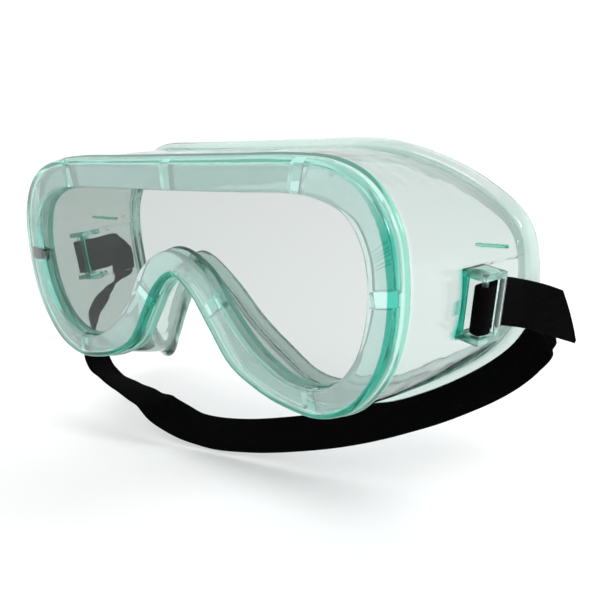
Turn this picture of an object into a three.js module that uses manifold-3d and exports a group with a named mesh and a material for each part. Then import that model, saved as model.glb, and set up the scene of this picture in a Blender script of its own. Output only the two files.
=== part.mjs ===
// Chemical-splash goggles: a soft clear moulding that holds a flat lens in a U-shaped channel,
// and an elastic headband threaded through a moulded lug on each temple.
//
// Millimetres, +Z up, +X to the right of someone who faces the lens, and the lens faces -Y.
// The origin lies between the temples, on the plane where the sides of the face seal end.

import * as THREE from "three";
import { mergeVertices } from "three/addons/utils/BufferGeometryUtils.js";
import Module from "manifold-3d";

const wasm = await Module();
wasm.setup();

// ---- driving dimensions ----

const TEMPLE_DEPTH = 55.5;        // from the front lip back to the face seal at the temples
const GAP = 0.3;                  // clearance between neighbouring solids

const RIM_DEPTH = 7.4;
const RIM_BEVEL = 0.7;
const RIDGE = { proud: 0.8, front: 5.2, back: 6.9 };
const CHANNEL = { front: 2.2, back: 4.8, floor: 1.8 };

const LENS_THICKNESS = 2;
const LENS_EDGE_PLAY = 0.5;       // between the lens edge and the floor of the channel
const KEY = { width: 4, setback: 0.6, bite: 0.3 };

const WALL = 1.8;
const WALL_INSET = 0.5;           // the wall starts this far inside the outer lip
const SEAL = { outward: 2.2, inward: 5, thickness: 1.4, root: 0.5 };

const LUG = {
  depth: 26.3, z: -7.6, rootX: 81.7, splay: 12, tilt: 7.8,
  length: 9.2, height: 19, stand: 6.8, wall: 1.8,
};
const FOOT_RIB = { stand: 1.4, depth: 1.1 };
const POST = { front: 2.4, back: 3.8, inner: 3.95, outer: 5.45 };
const REAR_BAR = { front: 7.3, inner: 5.1 };

const STRAP = { width: 13, thickness: 1.2, below: 0.4 };   // below: how low it sits in its lug
const TACK = { thickness: 0.4, length: 2.4, height: 9 };
// Distances from the wall to the middle of each strap layer, beside the post and under the bar.
const AT_POST = { inner: 3.05, outer: 6.35 };
const UNDER_BAR = { inner: 2.45, outer: 4 };
const STUB_END = 12.5;            // how far behind the lug's front the fixed strap layers reach

// ---- materials ----

const material = (color, roughness, opacity = 1) => new THREE.MeshStandardMaterial({
  color, roughness, metalness: 0, opacity, transparent: opacity < 1,
});
const rimVinyl = material(0x8fd3bd, 0.25, 0.6);
const clearVinyl = material(0xd5e9e1, 0.3, 0.45);
const polycarbonate = material(0xe2ece8, 0.08, 0.3);
const elastic = material(0x141414, 0.9);
const thread = material(0x2a2a2a, 0.8);

// ---- the three guiding outlines ----
//
// Each row is one station, from the top centre round the wearer's left side to the nose.
// lip: outer edge of the front lip (x, z). opening: edge of the lens opening (x, z).
// seal: outer edge of the wall at the face (x, z), and its depth behind the lip.

const HALF_STATIONS = [
  { lip: [0, 31.6], opening: [0, 22.3], seal: [0, 32.5, 37.5] },
  { lip: [25.4, 31.6], opening: [25, 22.4], seal: [25, 32.5, 39] },
  { lip: [45.3, 31.6], opening: [43.8, 22.5], seal: [48, 32, 43] },
  { lip: [59.8, 30.2], opening: [55.6, 21.4], seal: [64, 27.2, 47] },
  { lip: [70.4, 24.7], opening: [64.9, 17.2], seal: [77, 19.5, 51] },
  { lip: [76.7, 14.3], opening: [69.5, 9], seal: [85.5, 10.5, 54.5] },
  { lip: [78.3, 1.8], opening: [70.6, -0.2], seal: [88.3, 0, 55.5] },
  { lip: [77.2, -10.9], opening: [69.5, -9.4], seal: [87.5, -13, 55.5] },
  { lip: [73, -22.5], opening: [66.2, -18.3], seal: [82, -24.5, 53] },
  { lip: [64.6, -32.4], opening: [59.6, -25.8], seal: [70, -34, 45.5] },
  { lip: [53.6, -36.8], opening: [51.5, -29], seal: [55, -40.5, 35] },
  { lip: [41.6, -35.9], opening: [42.9, -28.4], seal: [42, -41, 28.5] },
  { lip: [31.2, -32.8], opening: [36, -25.2], seal: [33, -37.5, 24.5] },
  { lip: [21.4, -27.2], opening: [29, -20.3], seal: [25.5, -29.5, 21] },
  { lip: [13.5, -16.6], opening: [20.9, -11.5], seal: [17, -19.5, 17.5] },
  { lip: [7.3, -8.2], opening: [13, -1], seal: [9, -9.5, 15.5] },
  { lip: [0, -3.6], opening: [0, 4.6], seal: [0, -2.5, 14] },
];

const mirrored = HALF_STATIONS.slice(1, -1).reverse().map(({ lip, opening, seal }) => ({
  lip: [-lip[0], lip[1]], opening: [-opening[0], opening[1]], seal: [-seal[0], seal[1], seal[2]],
}));
const STATIONS = [...HALF_STATIONS, ...mirrored];

const closedCurve = (points) => new THREE.CatmullRomCurve3(points, true, "catmullrom", 0.5);
const lipCurve = closedCurve(STATIONS.map(({ lip: [x, z] }) => new THREE.Vector3(x, 0, z)));
const openingCurve = closedCurve(STATIONS.map(({ opening: [x, z] }) => new THREE.Vector3(x, 0, z)));
const sealCurve = closedCurve(STATIONS.map(({ seal: [x, z, depth] }) => new THREE.Vector3(x, depth, z)));

const wrap = (value) => ((value % 1) + 1) % 1;
const PAST = 1;                   // how far a cut runs past the face it opens

// The three guide points and the outward direction at a station number, whole or between two.
function guideAt(station) {
  const t = wrap(station / STATIONS.length);
  const lip = lipCurve.getPoint(t);
  const opening = openingCurve.getPoint(t);
  const seal = sealCurve.getPoint(t);
  const band = lip.distanceTo(opening);
  const outward = lip.clone().sub(opening).normalize();
  return { lip, opening, seal, band, outward };
}

// A point this far outward from the lip's outer edge, at a depth behind the lip.
function rimPoint(guide, offset, depth) {
  const point = guide.lip.clone().addScaledVector(guide.outward, offset);
  return point.setY(depth - TEMPLE_DEPTH);
}

// A point on or beside the wall's outer surface, at a fraction of the way to the face seal.
function wallPoint(guide, fraction, offset, extraDepth = 0) {
  const start = guide.lip.clone().addScaledVector(guide.outward, -WALL_INSET);
  const front = RIM_DEPTH + GAP;
  const depth = front + (guide.seal.y - front) * fraction + extraDepth;
  start.lerp(new THREE.Vector3(guide.seal.x, 0, guide.seal.z), fraction);
  return start.addScaledVector(guide.outward, offset).setY(depth - TEMPLE_DEPTH);
}

// ---- solids from sections ----

function signedVolume(positions, indices) {
  const [a, b, c] = [new THREE.Vector3(), new THREE.Vector3(), new THREE.Vector3()];
  let volume = 0;
  for (let i = 0; i < indices.length; i += 3) {
    a.fromArray(positions, indices[i] * 3);
    b.fromArray(positions, indices[i + 1] * 3);
    c.fromArray(positions, indices[i + 2] * 3);
    volume += a.dot(b.cross(c)) / 6;
  }
  return volume;
}

// Joins sections of equally many points into one closed solid, as a ring or with two end caps.
function skin(sections, isRing, capTriangles = []) {
  const size = sections[0].length;
  const positions = sections.flat().flatMap((point) => [point.x, point.y, point.z]);
  const indices = [];
  const last = isRing ? sections.length : sections.length - 1;
  for (let s = 0; s < last; s += 1) {
    const next = (s + 1) % sections.length;
    for (let i = 0; i < size; i += 1) {
      const j = (i + 1) % size;
      const [p, q, r, t] = [s * size + i, s * size + j, next * size + j, next * size + i];
      indices.push(p, q, r, p, r, t);
    }
  }
  const far = (sections.length - 1) * size;
  for (const [i, j, k] of capTriangles) {
    indices.push(i, k, j, far + i, far + j, far + k);
  }
  if (signedVolume(positions, indices) < 0) indices.reverse();
  const geometry = new THREE.BufferGeometry();
  geometry.setAttribute("position", new THREE.Float32BufferAttribute(positions, 3));
  geometry.setIndex(indices);
  return geometry;
}

// Cap triangles for a section, wound the same way round as the section itself.
function capOf(flatPoints) {
  const triangles = THREE.ShapeUtils.triangulateShape(flatPoints, []);
  const isClockwise = THREE.ShapeUtils.isClockWise(flatPoints);
  return triangles.map(([i, j, k]) => {
    const area = (flatPoints[j].x - flatPoints[i].x) * (flatPoints[k].y - flatPoints[i].y)
      - (flatPoints[k].x - flatPoints[i].x) * (flatPoints[j].y - flatPoints[i].y);
    return (area < 0) === isClockwise ? [i, j, k] : [i, k, j];
  });
}

function toManifold(geometry) {
  const bare = geometry.clone();
  bare.deleteAttribute("normal");
  bare.deleteAttribute("uv");
  const merged = mergeVertices(bare, 1e-4);
  return new wasm.Manifold(new wasm.Mesh({
    numProp: 3,
    vertProperties: new Float32Array(merged.attributes.position.array),
    triVerts: new Uint32Array(merged.index.array),
  }));
}

function fromManifold(solid) {
  const { vertProperties, triVerts } = solid.getMesh();
  const geometry = new THREE.BufferGeometry();
  geometry.setAttribute("position", new THREE.Float32BufferAttribute(vertProperties, 3));
  geometry.setIndex(Array.from(triVerts));
  return geometry;
}

// A block between two corners given as [x, y, z].
function block(low, high) {
  const size = high.map((value, i) => value - low[i]);
  const middle = high.map((value, i) => (value + low[i]) / 2);
  return new THREE.BoxGeometry(...size).translate(...middle);
}

// ---- front rim and lens ----

const RING_SECTIONS = 96;
const ringStations = Array.from(
  { length: RING_SECTIONS }, (_, i) => (i * STATIONS.length) / RING_SECTIONS,
);

function rimSection(guide) {
  const edge = -guide.band;
  const corners = [
    [edge, RIM_BEVEL], [edge + RIM_BEVEL, 0], [-RIM_BEVEL, 0], [0, RIM_BEVEL],
    [0, RIDGE.front - RIDGE.proud], [RIDGE.proud, RIDGE.front], [RIDGE.proud, RIDGE.back],
    [0, RIM_DEPTH], [edge + RIM_BEVEL, RIM_DEPTH], [edge, RIM_DEPTH - RIM_BEVEL],
    [edge, CHANNEL.back], [-CHANNEL.floor, CHANNEL.back],
    [-CHANNEL.floor, CHANNEL.front], [edge, CHANNEL.front],
  ];
  return corners.map(([offset, depth]) => rimPoint(guide, offset, depth));
}

// Stations where a small key bridges the channel: one at the brow's centre, four on each side.
const SIDE_KEYS = [2.3, 6.25, 10.2, 14.3];
const keyStations = [0, ...SIDE_KEYS, ...SIDE_KEYS.map((station) => STATIONS.length - station)];

// A block across the channel at one key. It reaches from "from" to "to" outward of the lip's
// edge, and from one depth to another.
function channelBlock(station, width, from, to, frontDepth, backDepth) {
  const guide = guideAt(station);
  const angle = Math.atan2(guide.outward.z, guide.outward.x);
  const geometry = block([from, frontDepth, -width / 2], [to, backDepth, width / 2]);
  geometry.rotateY(-angle);
  return geometry.translate(guide.lip.x, -TEMPLE_DEPTH, guide.lip.z);
}

function frontRim() {
  let solid = toManifold(skin(ringStations.map((s) => rimSection(guideAt(s))), true));
  const embed = 0.6;              // how far a key runs into the vinyl on each side
  for (const station of keyStations) {
    const { band } = guideAt(station);
    const key = channelBlock(station, KEY.width, KEY.setback - band, embed - CHANNEL.floor,
      CHANNEL.front - embed, CHANNEL.back + embed);
    solid = solid.add(toManifold(key));
  }
  return fromManifold(solid);
}

function lens() {
  const middle = (CHANNEL.front + CHANNEL.back) / 2;
  const [front, back] = [middle - LENS_THICKNESS / 2, middle + LENS_THICKNESS / 2];
  const inset = CHANNEL.floor + LENS_EDGE_PLAY;
  const outline = ringStations.map((s) => rimPoint(guideAt(s), -inset, 0));
  const shape = new THREE.Shape(outline.map((point) => new THREE.Vector2(point.x, point.z)));
  const plate = new THREE.ExtrudeGeometry(shape, { depth: LENS_THICKNESS, bevelEnabled: false });
  plate.rotateX(Math.PI / 2).translate(0, back - TEMPLE_DEPTH, 0);
  let solid = toManifold(plate);
  for (const station of keyStations) {
    const { band } = guideAt(station);
    const notch = channelBlock(station, KEY.width + 2 * GAP, KEY.bite - band, PAST,
      front - PAST, back + PAST);
    solid = solid.subtract(toManifold(notch));
  }
  return fromManifold(solid);
}

// ---- walls with the face seal on their rear edge ----

const WALL_STEPS = 4;
const SECTIONS_PER_STATION = 3;

function wallSection(guide) {
  const steps = Array.from({ length: WALL_STEPS + 1 }, (_, i) => i / WALL_STEPS);
  const { outward, inward, thickness, root } = SEAL;
  const outside = steps.map((f) => wallPoint(guide, f, 0, f === 1 ? -root : 0));
  const seal = [
    wallPoint(guide, 1, outward, 0), wallPoint(guide, 1, outward, thickness),
    wallPoint(guide, 1, -inward, thickness), wallPoint(guide, 1, -inward, 0),
  ];
  const inside = steps.reverse().map((f) => wallPoint(guide, f, -WALL, f === 1 ? -root : 0));
  return [...outside, ...seal, ...inside];
}

// The same section laid flat, as outward offset against depth, so that its cap can be found.
function flatWallSection(guide) {
  return wallSection(guide).map((point) => {
    const away = point.clone().sub(guide.lip).setY(0).dot(guide.outward);
    return new THREE.Vector2(away, point.y);
  });
}

// How many stations one millimetre along the lip is, next to a station.
function stationsPerMillimetre(station, direction) {
  const step = 0.1 * direction;
  return 0.1 / guideAt(station).lip.distanceTo(guideAt(station + step).lip);
}

function wallBetween(firstStation, lastStation) {
  const first = firstStation + (GAP / 2) * stationsPerMillimetre(firstStation, 1);
  const last = lastStation - (GAP / 2) * stationsPerMillimetre(lastStation, -1);
  const count = Math.round((last - first) * SECTIONS_PER_STATION);
  const sections = Array.from(
    { length: count + 1 }, (_, i) => wallSection(guideAt(first + ((last - first) * i) / count)),
  );
  return skin(sections, false, capOf(flatWallSection(guideAt(first))));
}

// The regions of the wall, as station numbers.
const BROW = 2.6;
const TEMPLE = 9;
const CHEEK = 13;
const FULL = STATIONS.length;
const wallRegions = {
  wall_brow: [-BROW, BROW],
  wall_temple_right: [BROW, TEMPLE],
  wall_cheek_right: [TEMPLE, CHEEK],
  wall_nose_bridge: [CHEEK, FULL - CHEEK],
  wall_cheek_left: [FULL - CHEEK, FULL - TEMPLE],
  wall_temple_left: [FULL - TEMPLE, FULL - BROW],
};

// ---- strap lugs ----
//
// Two arms stand on the wall. A low rib joins their feet, a post carries the strap between their
// front ends, and a bar across their rear ends holds the strap down.
//
// A lug's own frame: x outward from the wall, y rearward along it, z up, and its origin at the
// foot of the rib. The frame leans with the wall. Both lugs are made on the +X temple, and one
// is mirrored.

const CORE_REACH = 12;
const LUG_ROOT = -6;              // the lug's block starts this deep and is trimmed to the wall

function mirrorToLeft(geometry) {
  geometry.scale(-1, 1, 1);
  geometry.setIndex(Array.from(geometry.index.array).reverse());
  return geometry;
}

// Everything inside the temple wall's outer surface, and the clearance to it.
function templeCore() {
  const [first, last, perStation] = [3.5, 9.5, 4];
  const count = (last - first) * perStation;
  const sections = Array.from({ length: count + 1 }, (_, i) => {
    const guide = guideAt(first + i / perStation);
    return [
      wallPoint(guide, 0, GAP), wallPoint(guide, 1, GAP),
      wallPoint(guide, 1, -CORE_REACH), wallPoint(guide, 0, -CORE_REACH),
    ];
  });
  return skin(sections, false, [[0, 1, 2], [0, 2, 3]]);
}

const lugFrame = new THREE.Matrix4().makeTranslation(LUG.rootX, LUG.depth, LUG.z)
  .multiply(new THREE.Matrix4().makeRotationZ(-THREE.MathUtils.degToRad(LUG.splay)))
  .multiply(new THREE.Matrix4().makeRotationY(THREE.MathUtils.degToRad(LUG.tilt)));

function lug(side) {
  const half = LUG.height / 2;
  const innerFace = half - LUG.wall;
  const barEnd = half - LUG.wall / 2;
  const blocks = [
    block([LUG_ROOT, 0, innerFace], [LUG.stand, LUG.length, half]),
    block([LUG_ROOT, 0, -half], [LUG.stand, LUG.length, -innerFace]),
    block([LUG_ROOT, 0, -barEnd], [FOOT_RIB.stand, FOOT_RIB.depth, barEnd]),
    block([POST.inner, POST.front, -barEnd], [POST.outer, POST.back, barEnd]),
    block([REAR_BAR.inner, REAR_BAR.front, -barEnd], [LUG.stand, LUG.length, barEnd]),
  ];
  const body = fromManifold(blocks.map(toManifold).reduce((sum, next) => sum.add(next)));
  body.applyMatrix4(lugFrame).translate(0, -TEMPLE_DEPTH, 0);
  const trimmed = fromManifold(toManifold(body).subtract(toManifold(templeCore())));
  return side > 0 ? trimmed : mirrorToLeft(trimmed);
}

// ---- headband ----

// A flat band along a centreline. Each row has the point "at", in the part's frame but with its
// depth behind the front lip for y, and "across", the direction of the band's width.
function band(rows, steps, taper = () => [-0.5, 0.5]) {
  const toPoint = ([x, depth, z]) => new THREE.Vector3(x, depth - TEMPLE_DEPTH, z);
  const line = new THREE.CatmullRomCurve3(rows.map((row) => toPoint(row.at)), false, "centripetal");
  const widths = new THREE.CatmullRomCurve3(
    rows.map((row) => new THREE.Vector3(...row.across)), false, "catmullrom", 0.5,
  );
  const sections = [];
  for (let i = 0; i <= steps; i += 1) {
    const t = i / steps;
    const centre = line.getPoint(t);
    const tangent = line.getTangent(t);
    const normal = tangent.clone().cross(widths.getPoint(t)).normalize();
    const across = normal.clone().cross(tangent);
    const [low, high] = taper(t);
    const corner = (w, n) => centre.clone().addScaledVector(across, w * STRAP.width)
      .addScaledVector(normal, (n * STRAP.thickness) / 2);
    sections.push([corner(low, -1), corner(high, -1), corner(high, 1), corner(low, 1)]);
  }
  return skin(sections, false, [[0, 1, 2], [0, 2, 3]]);
}

const UP = [0, 0, 1];

const HEADBAND_STEPS = 84;
const TAIL_STEPS = 12;
const SEWN_STEPS = 4;

// The free loop, from the +X lug, back, down and round below the wall. On the -X side it lies
// flat, turns up on its edge and comes to the lug with a half twist.
const HEADBAND_ROUTE = [
  { at: [88.8, 45.5, -10.4], across: UP },
  { at: [91.4, 50.5, -11.9], across: [-0.08, 0, 1] },
  { at: [92.6, 56.8, -14.8], across: [0, -0.05, 1] },
  { at: [92.9, 62, -19], across: [-0.02, 0.05, 1] },
  { at: [89.8, 64.8, -24.3], across: [0.1, 0.3, 1] },
  { at: [85, 64, -30.5], across: [0, 0.4, 1] },
  { at: [76.8, 60.2, -38.2], across: [-0.1, 0.3, 1] },
  { at: [64.5, 54.5, -45.8], across: [-0.1, 0.2, 1] },
  { at: [49, 48.5, -53.4], across: UP },
  { at: [31.5, 43, -60], across: UP },
  { at: [13, 38, -65], across: UP },
  { at: [-6.5, 33.5, -68.8], across: UP },
  { at: [-24.5, 30.3, -70], across: [0, 0.1, 1] },
  { at: [-40, 28.2, -66.8], across: [-0.05, 0.6, 1] },
  { at: [-53.6, 27.6, -62.2], across: [-0.3, 1, 0.1] },
  { at: [-65.8, 28, -60.2], across: [-0.3, 1, -0.1] },
  { at: [-76.7, 28.5, -58.2], across: [-0.4, 1, -0.2] },
  { at: [-84.5, 29.5, -55.6], across: [-0.3, 1, -0.1] },
  { at: [-89.4, 31, -51.8], across: [-0.3, 1, 0] },
  { at: [-92.3, 33, -46.1], across: [-0.75, 0.66, 0] },
  { at: [-94.7, 35.5, -39.9], across: [-0.88, 0.47, 0] },
  { at: [-97, 38.5, -35.1], across: [-0.95, 0.3, 0] },
  { at: [-97.9, 42, -31.3], across: [-0.93, 0.37, 0.1] },
  { at: [-97, 45.5, -27.4], across: [-0.8, 0.6, 0.1] },
  { at: [-95.2, 49, -23.7], across: [-0.62, 0.78, 0.05] },
  { at: [-93.6, 51.5, -19.4], across: [-0.2, 1, 0] },
  { at: [-92.8, 52, -14.9], across: [0, 0.9, 0.5] },
  { at: [-92.4, 50.2, -11.5], across: [0, 0.35, 0.95] },
  { at: [-91.2, 47.8, -9.4], across: UP },
  { at: [-89, 45.5, -8.2], across: UP },
];

const TAIL_ROUTE = [
  { at: [91.1, 44.9, -10.5], across: [-0.05, 0, 1] },
  { at: [93.9, 49.6, -12], across: [-0.08, 0, 1] },
  { at: [96.2, 54, -14.1], across: [0, 0, 1] },
  { at: [98.7, 58.5, -16.2], across: [0.1, 0, 1] },
  { at: [101.2, 63.2, -18.4], across: [0.2, 0, 1] },
];
const TAIL_CUT = 0.5;             // the diagonal cut starts this far along the tail

const TIP = 0.1;                  // the share of the tail's width left at its very end

function tailTaper(t) {
  const cut = Math.max(0, (t - TAIL_CUT) / (1 - TAIL_CUT));
  return [-0.5, 0.5 - (1 - TIP) * cut];
}

// A strap layer inside a lug, drawn in the lug's frame as [x, y] points along its middle.
function layerInLug(points, side) {
  const across = new THREE.Vector3(0, 0, 1).transformDirection(lugFrame);
  const rows = points.map(([x, y]) => {
    const at = new THREE.Vector3(x, y, -STRAP.below).applyMatrix4(lugFrame);
    return { at: [side * at.x, at.y, at.z], across: [side * across.x, across.y, across.z] };
  });
  return band(rows, (rows.length - 1) * 2);
}

// The band comes in under the rear bar, turns round the post and goes back under the bar.
function foldPoints() {
  const radius = (AT_POST.outer - AT_POST.inner) / 2;
  const turnY = POST.front + 0.1;
  const turn = [-90, -60, -30, 0, 30, 60, 90].map((degrees) => {
    const angle = THREE.MathUtils.degToRad(degrees);
    return [AT_POST.inner + radius * (1 + Math.sin(angle)), turnY - radius * Math.cos(angle)];
  });
  return [
    [UNDER_BAR.inner, STUB_END], [UNDER_BAR.inner, 8], [2.8, 5.2], ...turn,
    [6.3, 4.2], [5.2, 5.7], [4.05, 7.1], [UNDER_BAR.outer, 9.5], [UNDER_BAR.outer, STUB_END],
  ];
}

// The sewn end lies on the -X stretch of the headband, and a tack of thread holds it there.
const SEWN_ROUTE = [
  { at: [-90.6, 43.9, -8.2], across: UP },
  { at: [-92.2, 45.5, -8.4], across: UP },
];

function threadTack() {
  const middle = new THREE.Vector3().lerpVectors(
    new THREE.Vector3(...SEWN_ROUTE[0].at), new THREE.Vector3(...SEWN_ROUTE[1].at), 0.5,
  );
  const stand = STRAP.thickness / 2 + GAP;
  const tack = block([-stand - TACK.thickness, -TACK.length / 2, -TACK.height / 2],
    [-stand, TACK.length / 2, TACK.height / 2]);
  const angle = Math.atan2(
    SEWN_ROUTE[1].at[0] - SEWN_ROUTE[0].at[0], SEWN_ROUTE[1].at[1] - SEWN_ROUTE[0].at[1],
  );
  return tack.rotateZ(-angle).translate(middle.x, middle.y - TEMPLE_DEPTH, middle.z);
}

// ---- assembly ----

const goggles = new THREE.Group();

function addPart(name, geometry, partMaterial, parent = goggles) {
  const mesh = new THREE.Mesh(geometry, partMaterial);
  mesh.name = name;
  parent.add(mesh);
}

addPart("front_rim", frontRim(), rimVinyl);
addPart("lens", lens(), polycarbonate);
for (const [name, [first, last]] of Object.entries(wallRegions)) {
  addPart(name, wallBetween(first, last), clearVinyl);
}
for (const [name, side] of [["right", 1], ["left", -1]]) {
  addPart(`strap_lug_${name}`, lug(side), rimVinyl);
  addPart(`strap_fold_${name}`, layerInLug(foldPoints(), side), elastic);
}

const headband = new THREE.Group();
goggles.add(headband);
addPart("headband", band(HEADBAND_ROUTE, HEADBAND_STEPS), elastic, headband);
addPart("strap_sewn_end", band(SEWN_ROUTE, SEWN_STEPS), elastic, headband);
addPart("strap_tack", threadTack(), thread, headband);
addPart("strap_tail", band(TAIL_ROUTE, TAIL_STEPS, tailTaper), elastic, headband);

export default goggles;
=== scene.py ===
import math
from collections import namedtuple

import bmesh
import bpy
import numpy as np
from mathutils import Matrix, Vector


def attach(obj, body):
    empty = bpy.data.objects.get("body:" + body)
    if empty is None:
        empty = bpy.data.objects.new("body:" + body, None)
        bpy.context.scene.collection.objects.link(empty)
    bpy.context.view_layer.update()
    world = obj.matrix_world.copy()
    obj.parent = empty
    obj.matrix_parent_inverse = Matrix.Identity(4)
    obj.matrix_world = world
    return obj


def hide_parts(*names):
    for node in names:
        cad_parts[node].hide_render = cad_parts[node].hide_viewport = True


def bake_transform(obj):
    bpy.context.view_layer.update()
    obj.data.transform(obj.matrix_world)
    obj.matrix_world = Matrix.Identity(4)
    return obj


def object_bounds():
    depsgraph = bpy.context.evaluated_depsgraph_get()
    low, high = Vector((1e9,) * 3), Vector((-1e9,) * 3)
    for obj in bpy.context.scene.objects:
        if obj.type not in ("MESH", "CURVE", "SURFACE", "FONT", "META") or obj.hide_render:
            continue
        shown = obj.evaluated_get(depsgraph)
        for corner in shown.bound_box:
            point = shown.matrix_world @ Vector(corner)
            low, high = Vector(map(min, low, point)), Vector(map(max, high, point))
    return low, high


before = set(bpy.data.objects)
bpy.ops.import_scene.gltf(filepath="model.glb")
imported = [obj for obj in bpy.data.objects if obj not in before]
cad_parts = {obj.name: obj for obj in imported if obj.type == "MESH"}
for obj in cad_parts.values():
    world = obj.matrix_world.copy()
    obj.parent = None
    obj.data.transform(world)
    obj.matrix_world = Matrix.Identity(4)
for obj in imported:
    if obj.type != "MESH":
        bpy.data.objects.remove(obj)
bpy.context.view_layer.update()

MM = 0.001

scene = bpy.context.scene
scene.view_settings.view_transform = "Standard"
scene.cycles.max_bounces = 48
scene.cycles.transmission_bounces = 48
scene.cycles.glossy_bounces = 8
scene.cycles.diffuse_bounces = 4
scene.cycles.transparent_max_bounces = 16


# ---- dimensions, in millimetres, as in the part's source ----

TEMPLE_DEPTH = 55.5
GAP = 0.3
RIM_DEPTH = 7.4
CHANNEL_FRONT, CHANNEL_BACK, CHANNEL_FLOOR = 2.2, 4.8, 1.8
LENS_THICKNESS, LENS_EDGE_PLAY = 2.0, 0.5
KEY_WIDTH, KEY_SETBACK, KEY_BITE = 4.0, 0.6, 0.3
WALL, WALL_INSET, WALL_BULGE = 1.8, 0.5, 0.55
LUG_DEPTH, LUG_Z, LUG_ROOT_X = 26.3, -7.6, 81.7
LUG_SPLAY, LUG_TILT = 12.0, 7.8        # degrees
LUG_LENGTH, LUG_HEIGHT, LUG_STAND, LUG_WALL = 9.2, 19.0, 6.8, 1.8
FOOT_RIB = (1.4, 1.1)                  # stand, depth
POST = (3.95, 5.45, 2.4, 3.8)          # inner, outer, front, back
REAR_BAR = (5.1, 7.3)                  # inner, front
STUB_END = 12.5                        # how far back the strap layers in a lug reach
STRAP_WIDTH, STRAP_THICKNESS, STRAP_BELOW = 13.0, 1.2, 0.4

# lip x, z; opening x, z; seal x, z, depth
HALF_STATIONS = [
    (0, 31.6, 0, 22.3, 0, 32.5, 37.5), (25.4, 31.6, 25, 22.4, 25, 32.5, 39),
    (45.3, 31.6, 43.8, 22.5, 48, 32, 43), (59.8, 30.2, 55.6, 21.4, 64, 27.2, 47),
    (70.4, 24.7, 64.9, 17.2, 77, 19.5, 51), (76.7, 14.3, 69.5, 9, 85.5, 10.5, 54.5),
    (78.3, 1.8, 70.6, -0.2, 88.3, 0, 55.5), (77.2, -10.9, 69.5, -9.4, 87.5, -13, 55.5),
    (73, -22.5, 66.2, -18.3, 82, -24.5, 53), (64.6, -32.4, 59.6, -25.8, 70, -34, 45.5),
    (53.6, -36.8, 51.5, -29, 55, -40.5, 35), (41.6, -35.9, 42.9, -28.4, 42, -41, 28.5),
    (31.2, -32.8, 36, -25.2, 33, -37.5, 24.5), (21.4, -27.2, 29, -20.3, 25.5, -29.5, 21),
    (13.5, -16.6, 20.9, -11.5, 17, -19.5, 17.5), (7.3, -8.2, 13, -1, 9, -9.5, 15.5),
    (0, -3.6, 0, 4.6, 0, -2.5, 14),
]
SIDE_KEYS = (2.3, 6.25, 10.2, 14.3)    # where the keys stand, in stations
TEMPLE_STATIONS = (5, 9)


# ---- camera ----

def make_camera():
    azimuth, elevation, roll = math.radians(39.77), math.radians(13.88), math.radians(-2.54)
    distance = 187.16
    target = Vector((48.37, -52.0, -6.45))
    back = Vector((math.sin(azimuth) * math.cos(elevation),
                   -math.cos(azimuth) * math.cos(elevation), math.sin(elevation)))
    level = Vector((math.cos(azimuth), math.sin(azimuth), 0))
    upright = back.cross(level)
    right = level * math.cos(roll) + upright * math.sin(roll)
    up = upright * math.cos(roll) - level * math.sin(roll)
    data = bpy.data.cameras.new("camera")
    data.sensor_width, data.lens = 36, 42.99
    data.shift_x, data.shift_y = -0.0050667, 0.0066167
    data.clip_start, data.clip_end = 0.005, 20
    camera = bpy.data.objects.new("camera", data)
    scene.collection.objects.link(camera)
    place = Matrix((right, up, back)).transposed().to_4x4()
    place.translation = (target + back * distance) * MM
    camera.matrix_world = place
    scene.camera = camera


make_camera()


# ---- guiding outlines ----

RIGHT_HALF = np.array(HALF_STATIONS, float)
LEFT_HALF = RIGHT_HALF[1:-1][::-1] * np.array([-1, 1, -1, 1, -1, 1, 1])
STATIONS = np.vstack([RIGHT_HALF, LEFT_HALF])
COUNT = len(STATIONS)
Guide = namedtuple("Guide", "lip seal outward band")


def guide(stations):
    """Lip, seal, outward direction and flange width at station numbers, on the closed curves."""
    t = np.asarray(stations, float) % COUNT
    i = np.floor(t).astype(int)
    f = (t - i)[:, None]
    p0, p1, p2, p3 = (STATIONS[(i + k) % COUNT] for k in (-1, 0, 1, 2))
    t0, t1 = (p2 - p0) * 0.5, (p3 - p1) * 0.5
    p = ((2 * f**3 - 3 * f**2 + 1) * p1 + (f**3 - 2 * f**2 + f) * t0
         + (-2 * f**3 + 3 * f**2) * p2 + (f**3 - f**2) * t1)
    lip, opening, seal = p[:, 0:2], p[:, 2:4], p[:, 4:7]
    band = np.linalg.norm(lip - opening, axis=1)
    return Guide(lip, seal, (lip - opening) / band[:, None], band)


def smooth(x, low, high):
    t = np.clip((x - low) / (high - low), 0, 1)
    return t * t * (3 - 2 * t)


def rim_points(g, offset, depth):
    xz = g.lip + g.outward * np.asarray(offset).reshape(-1, 1)
    return np.column_stack([xz[:, 0], np.full(len(xz), depth - TEMPLE_DEPTH), xz[:, 1]])


POCKET = 0.45
POCKET_BOTTOM, POCKET_TOP = (-17.4, -16.8), (1.4, 2.0)         # z where its edges slope
POCKET_FRONT, POCKET_REAR = (26.5, 27.3), (0.955, 0.975)       # depth, share of the wall
TEMPLE_X = 60                          # only the temples reach this far out


def pocket(x, z, depth, fraction):
    """How far the wall is set in behind each lug, where the headband lies along it."""
    up = smooth(z, *POCKET_BOTTOM) * (1 - smooth(z, *POCKET_TOP))
    along = smooth(depth, *POCKET_FRONT) * (1 - smooth(fraction, *POCKET_REAR))
    return POCKET * up * along * (np.abs(x) > TEMPLE_X)


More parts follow.
